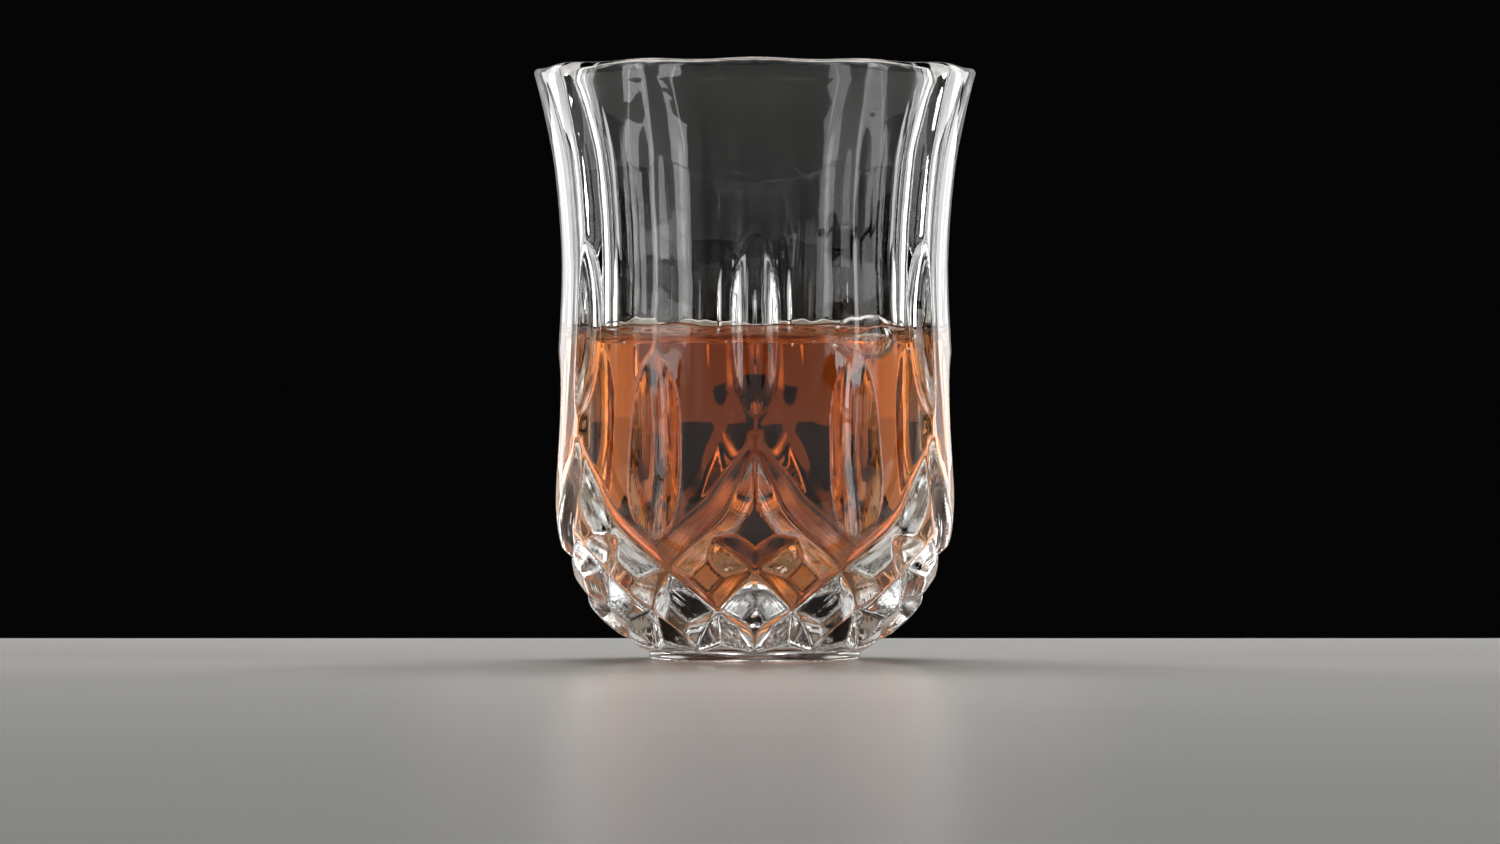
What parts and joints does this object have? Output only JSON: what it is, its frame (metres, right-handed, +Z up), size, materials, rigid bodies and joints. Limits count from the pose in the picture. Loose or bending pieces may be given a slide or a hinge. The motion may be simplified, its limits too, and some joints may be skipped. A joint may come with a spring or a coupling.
{
  "type": "whisky tumbler",
  "caption": "Small bell-shaped pressed glass tumbler with panelled flared mouth, lens cuts and a mitre-cut lattice bowl, part filled with whisky.",
  "frame": {"origin": "centre of the plane that the foot rests on", "axes": "+Z up along the glass's axis of rotation; -Y is the front, where a ridge between two panels faces; +X is to the right of the front"},
  "size_m": [0.0536, 0.0536, 0.072],
  "materials": {
    "pressed_glass": "clear soda-lime glass, pressed and fire-polished",
    "whisky": "clear amber liquid"
  },
  "bodies": {
    "root": {"glass_tumbler": "pressed_glass", "whisky": "whisky"}
  },
  "joints": []
}
